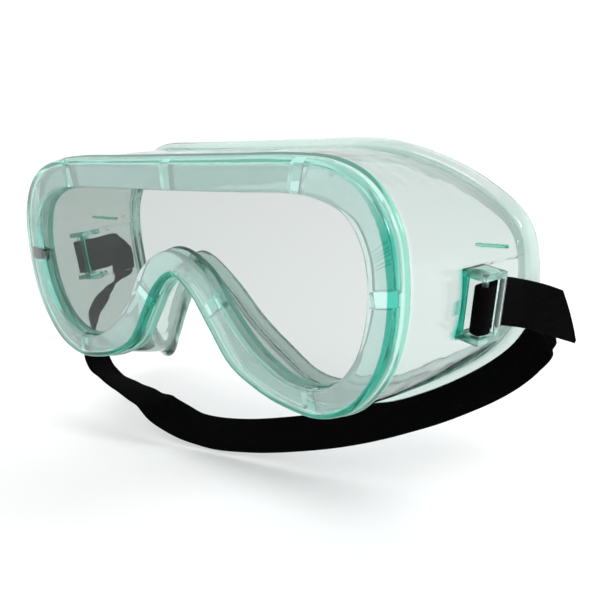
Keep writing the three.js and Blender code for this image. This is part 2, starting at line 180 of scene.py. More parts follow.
def wall_points(g, fraction, offset, extra_depth=0.0):
    """A ring of the wall, a fraction of the way from the rim to the seal, offset outward."""
    front = RIM_DEPTH + GAP
    start = g.lip - g.outward * WALL_INSET
    depth = front + (g.seal[:, 2] - front) * fraction + extra_depth
    xz = start + (g.seal[:, 0:2] - start) * fraction
    bulge = WALL_BULGE * math.sin(math.pi * fraction)
    off = offset + bulge - pocket(xz[:, 0], xz[:, 1], depth, fraction)
    xz = xz + g.outward * off[:, None]
    return np.column_stack([xz[:, 0], depth - TEMPLE_DEPTH, xz[:, 1]])


# ---- mesh helpers ----

def grid_faces(rows, size, ring, closed_profile=True):
    """Faces between rows of points, joined end to end when the rows make a ring."""
    faces = []
    last = rows if ring else rows - 1
    around = size if closed_profile else size - 1
    for r in range(last):
        n = (r + 1) % rows
        for i in range(around):
            j = (i + 1) % size
            faces.append((r * size + i, n * size + i, n * size + j, r * size + j))
    return faces


def add_mesh(name, points, faces):
    mesh = bpy.data.meshes.new(name)
    mesh.from_pydata([tuple(p) for p in np.asarray(points, float) * MM], [], faces)
    mesh.validate()
    bm = bmesh.new()
    bm.from_mesh(mesh)
    bmesh.ops.recalc_face_normals(bm, faces=bm.faces)
    bm.to_mesh(mesh)
    bm.free()
    obj = bpy.data.objects.new(name, mesh)
    scene.collection.objects.link(obj)
    return obj


def boolean(target, tool, operation):
    """Join the tool to the target, or cut it out, and remove the tool."""
    modifier = target.modifiers.new("cut", "BOOLEAN")
    modifier.operation = operation
    modifier.object = tool
    modifier.solver = "MANIFOLD"
    depsgraph = bpy.context.evaluated_depsgraph_get()
    mesh = bpy.data.meshes.new_from_object(target.evaluated_get(depsgraph))
    target.modifiers.clear()
    old = target.data
    target.data = mesh
    bpy.data.meshes.remove(old)
    bpy.data.objects.remove(tool)


def rounded_block(name, low, high, radius, place):
    """A block with rounded edges, in millimetres, moved by the matrix place."""
    bm = bmesh.new()
    bmesh.ops.create_cube(bm, size=1)
    low, high = Vector(low), Vector(high)
    for v in bm.verts:
        v.co = Vector([low[i] + (high[i] - low[i]) * (v.co[i] + 0.5) for i in range(3)])
    bmesh.ops.bevel(bm, geom=bm.edges[:], offset=radius, segments=3, affect="EDGES",
                    profile=0.5, clamp_overlap=True)
    for v in bm.verts:
        v.co = (place @ v.co) * MM
    bmesh.ops.recalc_face_normals(bm, faces=bm.faces)
    mesh = bpy.data.meshes.new(name)
    bm.to_mesh(mesh)
    bm.free()
    obj = bpy.data.objects.new(name, mesh)
    scene.collection.objects.link(obj)
    return obj


def finish_shading(obj, sharp_angle):
    for polygon in obj.data.polygons:
        polygon.use_smooth = True
    obj.data.set_sharp_from_angle(angle=math.radians(sharp_angle))


# ---- the moulding: rim, channel, wall and face seal in one closed section ----

RING_STEPS, TEMPLE_RING_STEPS = 12, 28     # rows between two stations
WALL_STEPS = 26

# Profiles in the order in which the section runs: offset outward, and depth. Offsets run from the
# flange's inner edge in FLANGE_EDGE, BEHIND_LENS and CHANNEL_MOUTH, and else from the lip.
FLANGE_EDGE = [(0, 1.9), (-0.02, 1.2), (0.12, 0.62), (0.42, 0.22), (0.9, 0.03)]
LIP = [(-4.2, 0), (-2.6, 0.02), (-2.2, 0.02), (-1.9, 0.03), (-1.65, 0.05), (-1.4, 0.12),
       (-0.85, 0.34), (-0.36, 0.8), (-0.08, 1.45), (0, 2.1), (0, 4.0), (0.12, 4.45), (0.42, 4.85),
       (0.72, 5.25), (0.85, 5.8), (0.8, 6.35), (0.55, 6.85), (0.1, 7.2)]
# a lip turned outward and a softer one turned inward: offset, and depth past the wall's end
FACE_SEAL = [(0.15, -0.9), (0.6, -0.45), (1.3, -0.18), (1.85, 0.02), (2.2, 0.4), (2.2, 0.95),
             (1.9, 1.32), (1.3, 1.42), (-1.0, 1.42), (-3.6, 1.4), (-4.5, 1.3), (-4.95, 0.95),
             (-4.95, 0.45), (-4.5, 0.12), (-3.6, 0.0), (-2.7, -0.12), (-2.1, -0.5), (-1.85, -1.0)]
BEHIND_LENS = [(1.0, RIM_DEPTH), (0.3, 7.2), (-0.35, 6.7), (-0.6, 6.0), (-0.5, 5.3),
               (-0.2, CHANNEL_BACK)]
CORNER = 0.2                           # the slope in the channel's corners
CHANNEL = [(-CHANNEL_FLOOR - CORNER, CHANNEL_BACK), (-CHANNEL_FLOOR, CHANNEL_BACK - CORNER),
           (-CHANNEL_FLOOR, CHANNEL_FRONT + CORNER), (-CHANNEL_FLOOR - CORNER, CHANNEL_FRONT)]
INNER_WALL_TOP = (-3.2, RIM_DEPTH)
INNER_WALL_LIFT = 0.25                 # the wall's inner face starts this far behind the rim
CHANNEL_MOUTH = (0.1, CHANNEL_FRONT)


def ring_stations():
    first, last = TEMPLE_STATIONS
    out = []
    for i in range(COUNT):
        temple = first <= i < last or COUNT - last <= i < COUNT - first
        per = TEMPLE_RING_STEPS if temple else RING_STEPS
        out.extend(i + k / per for k in range(per))
    return np.array(out)


def moulding_rows(stations):
    """The section at each station, once round: front, outside, seal, inside, channel."""
    g = guide(stations)
    rows = [rim_points(g, offset - g.band, depth) for offset, depth in FLANGE_EDGE]
    rows += [rim_points(g, offset, depth) for offset, depth in LIP]
    rows += [wall_points(g, k / WALL_STEPS, 0.0) for k in range(WALL_STEPS)]
    rows += [wall_points(g, 1.0, offset, extra) for offset, extra in FACE_SEAL]
    for k in range(WALL_STEPS - 1, -1, -1):
        rows.append(wall_points(g, k / WALL_STEPS, -WALL, 0.0 if k else INNER_WALL_LIFT))
    rows.append(rim_points(g, *INNER_WALL_TOP))
    rows += [rim_points(g, offset - g.band, depth) for offset, depth in BEHIND_LENS]
    rows += [rim_points(g, offset, depth) for offset, depth in CHANNEL]
    rows.append(rim_points(g, CHANNEL_MOUTH[0] - g.band, CHANNEL_MOUTH[1]))
    return np.stack(rows, axis=1)


def key_place(station):
    """Frame at a station (x out from the lip's edge, y depth, z along it), and the flange's width."""
    g = guide([station])
    lip, outward, band = g.lip[0], g.outward[0], g.band[0]
    angle = math.atan2(outward[1], outward[0])
    place = Matrix.Translation((lip[0], -TEMPLE_DEPTH, lip[1])) @ Matrix.Rotation(-angle, 4, "Y")
    return place, band


KEY_STATIONS = [0.0, *SIDE_KEYS, *(COUNT - s for s in SIDE_KEYS)]


def lug_place(side):
    place = Matrix.Translation((LUG_ROOT_X, LUG_DEPTH - TEMPLE_DEPTH, LUG_Z))
    place = place @ Matrix.Rotation(math.radians(-LUG_SPLAY), 4, "Z")
    place = place @ Matrix.Rotation(math.radians(LUG_TILT), 4, "Y")
    return Matrix.Scale(side, 4, (1, 0, 0)) @ place


CORE_STATIONS, CORE_STEPS, CORE_REACH = (3.5, 9.51), 30, 14.0


def temple_core(side):
    """What lies inside the middle of the temple wall's thickness."""
    stations = np.arange(*CORE_STATIONS, 1 / RING_STEPS)
    g = guide(stations if side > 0 else COUNT - stations)
    rows = [wall_points(g, k / CORE_STEPS, -WALL / 2) for k in range(CORE_STEPS + 1)]
    rows += [wall_points(g, 1, -CORE_REACH), wall_points(g, 0, -CORE_REACH)]
    grid = np.stack(rows, axis=1)
    count, size = grid.shape[:2]
    faces = grid_faces(count, size, ring=False)
    faces.append(tuple(range(size)))
    faces.append(tuple((count - 1) * size + i for i in reversed(range(size))))
    return add_mesh("core", grid.reshape(-1, 3), faces)


LUG_ROOT = -6                          # the lug starts inside the wall and is trimmed by its core


def make_lug(side):
    """Two arms, a low rib between their feet, the post set back behind it and the rear bar."""
    place = lug_place(side)
    half, root = LUG_HEIGHT / 2, LUG_ROOT
    inner_face, bar_end = half - LUG_WALL, half - LUG_WALL / 2
    blocks = [
        ((root, 0, inner_face), (LUG_STAND, LUG_LENGTH, half), 0.5),
        ((root, 0, -bar_end), (FOOT_RIB[0], FOOT_RIB[1], bar_end), 0.35),
        ((root, 0, -half), (LUG_STAND, LUG_LENGTH, -inner_face), 0.5),
        ((POST[0], POST[2], -bar_end), (POST[1], POST[3], bar_end), 0.4),
        ((REAR_BAR[0], REAR_BAR[1], -bar_end), (LUG_STAND, LUG_LENGTH, bar_end), 0.4),
    ]
    pieces = [rounded_block("lug", low, high, radius, place) for low, high, radius in blocks]
    for piece in pieces[1:]:
        boolean(pieces[0], piece, "UNION")
    boolean(pieces[0], temple_core(side), "DIFFERENCE")
    return pieces[0]


KEY_ROOT = 0.5                         # how far the keys reach into the rim round the channel


def make_moulding():
    grid = moulding_rows(ring_stations())
    count, size = grid.shape[:2]
    obj = add_mesh("moulding", grid.reshape(-1, 3), grid_faces(count, size, ring=True))
    for station in KEY_STATIONS:
        place, band = key_place(station)
        low = (KEY_SETBACK - band, CHANNEL_FRONT - KEY_ROOT, -KEY_WIDTH / 2)
        high = (KEY_ROOT - CHANNEL_FLOOR, CHANNEL_BACK + KEY_ROOT, KEY_WIDTH / 2)
        block = rounded_block("key", low, high, 0.25, place)
        boolean(obj, block, "UNION")
    for side in (1, -1):
        boolean(obj, make_lug(side), "UNION")
        boolean(obj, slit(side), "DIFFERENCE")
        boolean(obj, pin(side), "DIFFERENCE")
    finish_shading(obj, 32)
    tint_and_paint_edge_light(obj)
    return obj


# Colour, and the share of the light that passes clear through: the rest is the vinyl's haze.
RIM_TINT = (0.93, 1.0, 0.985, 0.88)
FLANGE_TINT = (0.95, 1.0, 0.99, 0.80)
WALL_TINT = (0.70, 0.71, 0.69, 0.985)
# painted light: the teal of light guided along the lip's thick front edge
EDGE_PAINTED_LIGHT = (0.02, 0.50, 0.36, 0.85)
# painted light: paler on the edges that face up
TOP_EDGE_PAINTED_LIGHT = (0.62, 0.93, 0.86, 0.8)
# painted light: teal on the rim's side face
SIDE_PAINTED_LIGHT = (0.60, 0.88, 0.78, 0.70)
# painted shade: darker teal on the ridge behind the lip
RIDGE_PAINTED_SHADE = (0.24, 0.62, 0.48, 0.62)
# painted shade: a near-black strip on each key
KEY_PAINTED_SHADE = (0.002, 0.16, 0.10, 0.85)
SEAL_TINT = (0.80, 0.90, 0.86, 0.78)
# painted light: teal in the slits
SLIT_PAINTED_LIGHT = (0.08, 0.50, 0.32, 0.9)
LUG_TINT = (0.85, 0.98, 0.94, 0.92)

# Where the tints lie: depth behind the lip's front, and distance in from the lip's edge.
FLANGE_BACK, SIDE_BACK = 2.2, 4.6
LIP_ROUND, SIDE_INSIDE, RIDGE_INSIDE = 1.75, 0.2, -0.3
RIDGE_FRONT, WALL_FRONT = 4.0, RIM_DEPTH + 0.4
SEAL_FRONT = -0.8                      # from the seal's own depth
TOP_RISE = (0.55, 0.9)                 # how far up the lip faces where the painted light on the top edges comes in
LUG_ZONE = ((0.7, 9.0), 10.0, 9.6)     # out from the wall, half along it, half up
# where teal is painted as light at each lug's foot and in each slit
LUG_FOOT_ZONE = ((-1.4, 1.6), 1.3, 9.6)
SLIT_ZONE = ((-1.4, 0.3), 7.0, 0.45)
KEY_SHADE_STRIP = (1.6, 2.1)                  # the strip of each key that is seen edge-on, painted dark as shade
COLOUR_STEPS, COLOUR_BATCH = 40, 4000


def in_frame(place, points):
    """The points in the frame of a placing matrix."""
    back = np.array(place.inverted())
    return points @ back[:3, :3].T + back[:3, 3]


def beside_lip(at, depth):
    """How far each point lies in from the lip, how far up its lip faces, how far behind the seal."""
    g = guide(np.arange(0, COUNT, 1 / COLOUR_STEPS))
    inside, rise, behind = np.empty(len(at)), np.empty(len(at)), np.empty(len(at))
    for first in range(0, len(at), COLOUR_BATCH):
        batch = slice(first, first + COLOUR_BATCH)
        away = at[batch][:, None, [0, 2]] - g.lip[None, :, :]
        nearest = (away ** 2).sum(axis=2).argmin(axis=1)
        step = away[np.arange(len(away)), nearest]
        inside[batch] = -(step * g.outward[nearest]).sum(axis=1)
        rise[batch] = g.outward[nearest][:, 1]
        behind[batch] = depth[batch] - g.seal[nearest][:, 2]
    return inside, rise, behind


def tint_and_paint_edge_light(obj):
    """Thick edges guide the light along the moulding and look teal: that light is painted teal onto
    them, with painted light on the top edges, painted shade on the ridge and the keys, and the walls
    tinted a little grey.
    """
    mesh = obj.data
    at = np.empty(len(mesh.vertices) * 3)
    mesh.vertices.foreach_get("co", at)
    at = at.reshape(-1, 3) / MM
    depth = at[:, 1] + TEMPLE_DEPTH
    inside, rise, behind = beside_lip(at, depth)
    tint_and_painted_light = np.full((len(at), 4), RIM_TINT)
    tint_and_painted_light[depth < FLANGE_BACK] = FLANGE_TINT
    tint_and_painted_light[depth > WALL_FRONT] = WALL_TINT
    tint_and_painted_light[behind > SEAL_FRONT] = SEAL_TINT
    # painted light: teal on the lip's front edge, where light is guided along the thick vinyl
    edge = (inside < LIP_ROUND) & (depth < FLANGE_BACK)
    # painted light: the edge turns paler where the lip faces up
    top_light_share = smooth(rise, *TOP_RISE)[:, None]
    tint_and_painted_light[edge] = (np.array(EDGE_PAINTED_LIGHT) * (1 - top_light_share) + np.array(TOP_EDGE_PAINTED_LIGHT) * top_light_share)[edge]
    # painted light: teal on the rim's side face
    tint_and_painted_light[(inside < SIDE_INSIDE) & (depth < SIDE_BACK) & (depth > FLANGE_BACK)] = SIDE_PAINTED_LIGHT
    # painted shade: the ridge behind the lip is darker
    tint_and_painted_light[(inside < RIDGE_INSIDE) & (depth < RIM_DEPTH) & (depth > RIDGE_FRONT)] = RIDGE_PAINTED_SHADE
    # painted light: teal at each lug's foot and in each slit, besides the lugs' own clear tint
    for side in (1, -1):
        lug, groove = lug_place(side), slit_place(side)
        for place, zone, colour in ((lug, LUG_ZONE, LUG_TINT), (lug, LUG_FOOT_ZONE, EDGE_PAINTED_LIGHT),
                                    (groove, SLIT_ZONE, SLIT_PAINTED_LIGHT)):
            (low, high), along, up = zone
            local = in_frame(place, at)
            hit = (local[:, 0] < high) & (local[:, 0] > low) & (np.abs(local[:, 2]) < up)
            tint_and_painted_light[hit & (np.abs(local[:, 1]) < along)] = colour
    # painted shade: a dark strip on the side of each key that is seen edge-on
    for station in KEY_STATIONS:
        place, band = key_place(station)
        toward_right = 1 if (place.to_3x3() @ Vector((0, 0, 1))).x > 0 else -1
        local = in_frame(place, at)
        across = local[:, 2] * toward_right
        tall = (local[:, 0] > -band) & (local[:, 0] < -CHANNEL_FLOOR + 0.1)
        deep = (local[:, 1] > CHANNEL_FRONT - GAP) & (local[:, 1] < CHANNEL_BACK + GAP)
        tint_and_painted_light[tall & deep & (across > KEY_SHADE_STRIP[0]) & (across < KEY_SHADE_STRIP[1])] = KEY_PAINTED_SHADE
    # the tints, with their painted light and painted shade, go to the vinyl as one colour attribute
    layer = mesh.attributes.new("tint_and_painted_light", "FLOAT_COLOR", "POINT")
    layer.data.foreach_set("color", tint_and_painted_light.astype(np.float32).ravel())


# ---- the slit and the pin mark above each lug ----

SLIT_AT, SLIT_LEAN = (39.15, 6.0), -6.9      # depth, z; degrees
SLIT_SIZE, PIN_SIZE = (1.2, 13.8, 0.8), (0.8, 1.0, 1.0)      # how deep, along, up
PIN_AT = (50, 5.2)
MARK_PROUD = 1.5                       # the cutting blocks stand this far out of the wall
SEARCH_STATIONS, SEARCH_FRACTIONS = np.linspace(4.5, 8.5, 161), np.linspace(0.1, 0.98, 89)
LOOK_AHEAD = 0.05


def temple_frame(side, depth, z):
    """Frame on the temple wall's outer surface: x outward, y rearward along it, z up."""
    g = guide(SEARCH_STATIONS if side > 0 else COUNT - SEARCH_STATIONS)
    nearest = []
    for fraction in SEARCH_FRACTIONS:
        p = wall_points(g, fraction, 0.0)
        miss = np.abs(p[:, 1] + TEMPLE_DEPTH - depth) + np.abs(p[:, 2] - z)
        k = int(miss.argmin())
        nearest.append((miss[k], fraction, k))
    _, fraction, k = min(nearest)
    at = Vector(wall_points(g, fraction, 0.0)[k])
    ahead = Vector(wall_points(g, min(1.0, fraction + LOOK_AHEAD), 0.0)[k])
    rear = (ahead - at).normalized()
    up = Vector((0, 0, 1))
    out = (rear.cross(up) * side).normalized()
    up = (up - rear * up.dot(rear)).normalized()
    place = Matrix((out, rear, up)).transposed().to_4x4()
    place.translation = at
    return place


def mark(name, size, radius, place):
    deep, along, up = size
    return rounded_block(name, (-deep, -along / 2, -up / 2), (MARK_PROUD, along / 2, up / 2),
                         radius, place)


def slit_place(side):
    return temple_frame(side, *SLIT_AT) @ Matrix.Rotation(math.radians(SLIT_LEAN), 4, "X")


def slit(side):
    return mark("slit", SLIT_SIZE, 0.3, slit_place(side))


def pin(side):
    return mark("pin", PIN_SIZE, 0.4, temple_frame(side, *PIN_AT))


# ---- the lens ----

LENS_CHAMFER = 0.15


def make_lens():
    g = guide(np.arange(0, COUNT, 1 / RING_STEPS))
    middle = (CHANNEL_FRONT + CHANNEL_BACK) / 2
    front, back = middle - LENS_THICKNESS / 2, middle + LENS_THICKNESS / 2
    edge = -CHANNEL_FLOOR - LENS_EDGE_PLAY
    profile = [(edge - LENS_CHAMFER, front), (edge, front + LENS_CHAMFER),
               (edge, back - LENS_CHAMFER), (edge - LENS_CHAMFER, back)]
    grid = np.stack([rim_points(g, offset, depth) for offset, depth in profile], axis=1)
    count, size = grid.shape[:2]
    faces = grid_faces(count, size, ring=True, closed_profile=False)
    faces.append(tuple(r * size for r in range(count)))
    faces.append(tuple(r * size + size - 1 for r in reversed(range(count))))
    obj = add_mesh("lens_sheet", grid.reshape(-1, 3), faces)
    half = KEY_WIDTH / 2 + GAP
    for station in KEY_STATIONS:
        place, band = key_place(station)
        low, high = (KEY_BITE - band, front - 1, -half), (1, back + 1, half)
        boolean(obj, rounded_block("notch", low, high, 0.3, place), "DIFFERENCE")
    finish_shading(obj, 30)
    return obj


# ---- the headband ----

UP = (0, 0, 1)


def in_lug(side, x, y):
    """A row of the strap's line inside a lug: its point, and the direction of its width."""
    place = lug_place(side)
    at = place @ Vector((x, y, -STRAP_BELOW))
    across = place.to_3x3() @ Vector((0, 0, 1))
    return (at.x, at.y + TEMPLE_DEPTH, at.z), tuple(across)


BESIDE_POST = (3.05, 6.35)             # the inner and the outer layer's distance from the wall
UNDER_BAR = (2.45, 4.0)


def turn_points():
    """The band round the post, in the lug's frame, from the inner layer to the outer one."""
    inner, outer = BESIDE_POST
    radius = (outer - inner) / 2
    turn_y = POST[2] + 0.1
    points = [(UNDER_BAR[0], STUB_END), (UNDER_BAR[0], 8.0), (2.8, 5.2)]
    for degrees in range(-90, 91, 15):
        a = math.radians(degrees)
        points.append((inner + radius * (1 + math.sin(a)), turn_y - radius * math.cos(a)))
    points += [(6.3, 4.2), (5.2, 5.7), (4.05, 7.1), (UNDER_BAR[1], 9.5), (UNDER_BAR[1], STUB_END)]
    return points


CURVE_STEPS, STRIP_STEP = 24, 0.55


def between(a, b, low, high, t):
    """The value on the line that is a at low and b at high."""
    return a * (high - t) / (high - low) + b * (t - low) / (high - low)


def catmull(rows):
    """Centripetal curve through the rows' points, and the across vectors that go with it."""
    p = np.array([r[0] for r in rows], float)
    w = np.array([r[1] for r in rows], float)
    p = np.vstack([2 * p[0] - p[1], p, 2 * p[-1] - p[-2]])
    w = np.vstack([w[0], w, w[-1]])
    points, widths = [], []
    for i in range(1, len(p) - 2):
        k = [0.0]
        for a in range(3):
            k.append(k[-1] + max(1e-6, np.linalg.norm(p[i + a] - p[i + a - 1])) ** 0.5)
        for s in np.linspace(0, 1, CURVE_STEPS, endpoint=False):
            t = k[1] + (k[2] - k[1]) * s
            a1, a2, a3 = (between(p[i - 1 + j], p[i + j], k[j], k[j + 1], t) for j in range(3))
            b1 = between(a1, a2, k[0], k[2], t)
            b2 = between(a2, a3, k[1], k[3], t)
            points.append(between(b1, b2, k[1], k[2], t))
            e = smooth(s, 0, 1)
            widths.append(w[i] * (1 - e) + w[i + 1] * e)
    points.append(p[-2])
    widths.append(w[-2])
    return np.array(points), np.array(widths)


def resample(points, widths):
    """The line at even steps, with the length run from its start."""
    lengths = np.r_[0, np.cumsum(np.linalg.norm(np.diff(points, axis=0), axis=1))]
    run = np.linspace(0, lengths[-1], int(round(lengths[-1] / STRIP_STEP)) + 1)

    def pick(vectors):
        return np.column_stack([np.interp(run, lengths, vectors[:, k]) for k in range(3)])

    return pick(points), pick(widths), run


# The band's route: rows of a point (x, depth, z) and the direction of the band's width there.
LOOP = [
    ((88.5, 45.5, -10.2), UP), ((91, 50.5, -11.9), (-0.08, 0, 1)),
    ((92.6, 56.8, -14.8), (0, -0.05, 1)), ((92.9, 62, -19), (-0.02, 0.05, 1)),
    ((89.8, 64.8, -24.3), (0.1, 0.3, 1)), ((85, 64, -30.5), (0, 0.4, 1)),
    ((76.8, 60.2, -38.2), (-0.1, 0.3, 1)), ((64.5, 54.5, -45.8), (-0.1, 0.2, 1)),
    ((49, 48.5, -53.4), UP), ((31.5, 43, -60), UP), ((13, 38, -65), UP), ((-6.5, 33.5, -68.8), UP),
    ((-24.5, 30.3, -70), (0, 0.1, 1)), ((-40, 28.2, -66.8), (-0.05, 0.6, 1)),
    ((-53.6, 27.6, -62.2), (-0.3, 1, 0.1)), ((-65.8, 28, -60.2), (-0.3, 1, -0.1)),
    ((-76.7, 28.5, -58.2), (-0.4, 1, -0.2)), ((-84.5, 29.5, -55.6), (-0.3, 1, -0.1)),
    ((-89.4, 31, -51.8), (-0.3, 1, 0)), ((-92.3, 33, -46.1), (-0.75, 0.66, 0)),
    ((-94.7, 35.5, -39.9), (-0.88, 0.47, 0)), ((-97, 38.5, -35.1), (-0.95, 0.3, 0)),
    ((-97.9, 42, -31.3), (-0.93, 0.37, 0.1)), ((-97, 45.5, -27.4), (-0.8, 0.6, 0.1)),
    ((-95.2, 49, -23.7), (-0.62, 0.78, 0.05)), ((-93.6, 51.5, -19.4), (-0.2, 1, 0)),
    ((-92.8, 52, -14.9), (0, 0.9, 0.5)), ((-92.2, 50.2, -11.5), (0, 0.35, 0.95)),
    ((-90.7, 48, -9.4), UP), ((-88.6, 45.5, -8.2), UP),
]
TAIL = [
    ((90.3, 45.1, -10.3), UP), ((93.3, 49.8, -12), (-0.08, 0, 1)), ((96.2, 54, -14.1), UP),
    ((98.7, 58.5, -16.2), (0.1, 0, 1)), ((101.2, 63.2, -18.4), (0.2, 0, 1)),
]
SEWN = [((-90, 44.7, -8.2), UP), ((-91.6, 47.1, -8.6), UP)]
LEAVE_RIGHT, LEAVE_LEFT, LEAVE_TAIL = 51.0, 48.8, 51.0   # depths where the hinged pieces begin
TURN_SAMPLES = 40                      # the loop's start is this many samples past the tail, or more
LEFT_X, SEWN_RUN = -80, 40             # its end is beyond this x, and this far from the sewn end
RIBS = 12
TIP_RUN, TIP_CUT = 11.5, 0.92          # the diagonal cut's length, and its share of the width
SELVEDGE = 0.045                       # the rounded edge's share of the width


def upper_edge(run):
    """How far up the band's width goes: all the way, but for the tail's diagonal cut."""
    return 0.5 - TIP_CUT * np.clip((TIP_RUN - run) / TIP_RUN, 0, 1)


def ribbon(name, points, widths, run):
    """A woven band along a line, with lengthwise ribs, rounded edges and uv in millimetres."""
    tangent = np.gradient(points, axis=0)
    tangent /= np.linalg.norm(tangent, axis=1)[:, None]
    normal = np.cross(tangent, widths)
    normal /= np.linalg.norm(normal, axis=1)[:, None]
    across = np.cross(normal, tangent)
    u = np.linspace(-0.5, 0.5, RIBS * 4 + 1)
    rib = 0.5 + 0.5 * np.cos(2 * math.pi * (u + 0.5) * RIBS + math.pi)
    past = np.clip((np.abs(u) - (0.5 - SELVEDGE)) / SELVEDGE, 0, 1)
    edge = np.sqrt(np.clip(1 - past ** 2, 0, 1))
    half = STRAP_THICKNESS / 2 * (0.12 + 0.88 * edge) * (0.90 + 0.10 * rib)
    places, heights = np.r_[u, u[::-1]], np.r_[half, -half[::-1]]
    high = upper_edge(run)
    rows = []
    for a, h in zip(places, heights):
        place = -0.5 + (high + 0.5) * (a + 0.5)
        rows.append(points + across * (place * STRAP_WIDTH)[:, None] + normal * h)
    grid = np.stack(rows, axis=1)
    count, size = grid.shape[:2]
    faces = grid_faces(count, size, ring=False)
    faces.append(tuple(reversed(range(size))))
    faces.append(tuple((count - 1) * size + i for i in range(size)))
    obj = add_mesh(name, grid.reshape(-1, 3), faces)
    finish_shading(obj, 50)
    layer = obj.data.uv_layers.new(name="weave")
    index = np.zeros(len(obj.data.loops), int)
    obj.data.loops.foreach_get("vertex_index", index)
    row, column = index // size, index % size
    place = -0.5 + (high + 0.5)[row] * (places[column] + 0.5)
    uv = np.column_stack([place * STRAP_WIDTH, run[row]])
    layer.data.foreach_set("uv", uv.astype(np.float32).ravel())
    return obj


def strap_pieces():
    """One strip from the tail's tip, round the right post, along the loop, round the left post."""
    right = [in_lug(1, x, y) for x, y in turn_points()]
    left = [in_lug(-1, x, y) for x, y in turn_points()]
    strip = TAIL[::-1] + right[::-1] + LOOP + left + SEWN
    points, widths, run = resample(*catmull(strip))
    x, depth = points[:, 0], points[:, 1]
    last = len(points) - 1
    # cut where the strip leaves each lug's region
    k_tail = next(k for k in range(last) if depth[k] <= LEAVE_TAIL)
    k_right = next(k for k in range(k_tail + TURN_SAMPLES, last) if depth[k] >= LEAVE_RIGHT)
    k_left = max(k for k in range(last) if x[k] < LEFT_X and depth[k] >= LEAVE_LEFT
                 and run[k] < run[-1] - SEWN_RUN)
    points = points - np.array([0, TEMPLE_DEPTH, 0])
    spans = {"strap_tail_end": (0, k_tail), "strap_turn_right": (k_tail, k_right),
             "strap_loop": (k_right, k_left), "strap_turn_left": (k_left, last)}
    made = {}
    for name, (first, final) in spans.items():
        span = slice(first, final + 1)
        made[name] = ribbon(name, points[span], widths[span], run[span])
    return made, points, widths, run


# ---- materials ----

def new_material(name):
    material = bpy.data.materials.new(name)
    material.use_nodes = True
    nodes = material.node_tree.nodes
    return material, nodes, material.node_tree.links, nodes["Principled BSDF"]


def node(nodes, kind, **values):
    """A new node, with its inputs and its own properties set by name."""
    made = nodes.new(kind)
    for key, value in values.items():
        if key in made.inputs:
            made.inputs[key].default_value = value
        else:
            setattr(made, key, value)
    return made


def map_range(nodes, from_range, to_range, **values):
    made = node(nodes, "ShaderNodeMapRange", **values)
    for title, (low, high) in (("From", from_range), ("To", to_range)):
        made.inputs[title + " Min"].default_value = low
        made.inputs[title + " Max"].default_value = high
    return made


def clear_material(name, ior, absorb, density, roughness, bump, scale):
    """Clear plastic that absorbs light with depth, with uneven gloss and a slight waviness."""
    material, nodes, links, shader = new_material(name)
    shader.inputs["Transmission Weight"].default_value = 1.0
    shader.inputs["IOR"].default_value = ior
    shader.inputs["Base Color"].default_value = (1, 1, 1, 1)
    noise = node(nodes, "ShaderNodeTexNoise", Scale=scale, Detail=4.0, Roughness=0.55)
    coords = node(nodes, "ShaderNodeTexCoord")
    links.new(coords.outputs["Object"], noise.inputs["Vector"])
    rough = map_range(nodes, (0.3, 0.7), roughness)
    links.new(noise.outputs["Fac"], rough.inputs["Value"])
    links.new(rough.outputs["Result"], shader.inputs["Roughness"])
    wave = node(nodes, "ShaderNodeTexNoise", Scale=scale * 0.25, Detail=2.0)
    links.new(coords.outputs["Object"], wave.inputs["Vector"])
    relief = node(nodes, "ShaderNodeBump", Strength=bump, Distance=0.0006)
    links.new(wave.outputs["Fac"], relief.inputs["Height"])
    links.new(relief.outputs["Normal"], shader.inputs["Normal"])
    volume = node(nodes, "ShaderNodeVolumeAbsorption")
    volume.inputs["Color"].default_value = (*absorb, 1)
    volume.inputs["Density"].default_value = density
    links.new(volume.outputs["Volume"], nodes["Material Output"].inputs["Volume"])
    return material


def vinyl_material():
    material = clear_material("clear_green_vinyl", ior=1.38, absorb=(0.20, 0.76, 0.66), density=90,
                              roughness=(0.02, 0.07), bump=0.3, scale=260)
    tree = material.node_tree
    shader = tree.nodes["Principled BSDF"]
    # the vertex colours carry the vinyl's tints and the painted light and shade
    local = node(tree.nodes, "ShaderNodeAttribute", attribute_name="tint_and_painted_light")
    tree.links.new(local.outputs["Color"], shader.inputs["Base Color"])
    tree.links.new(local.outputs["Alpha"], shader.inputs["Transmission Weight"])
    return material


def lens_material():
    return clear_material("polycarbonate_sheet", ior=1.16, absorb=(0.325, 0.40, 0.371),
                          density=280, roughness=(0.004, 0.02), bump=0.02, scale=90)


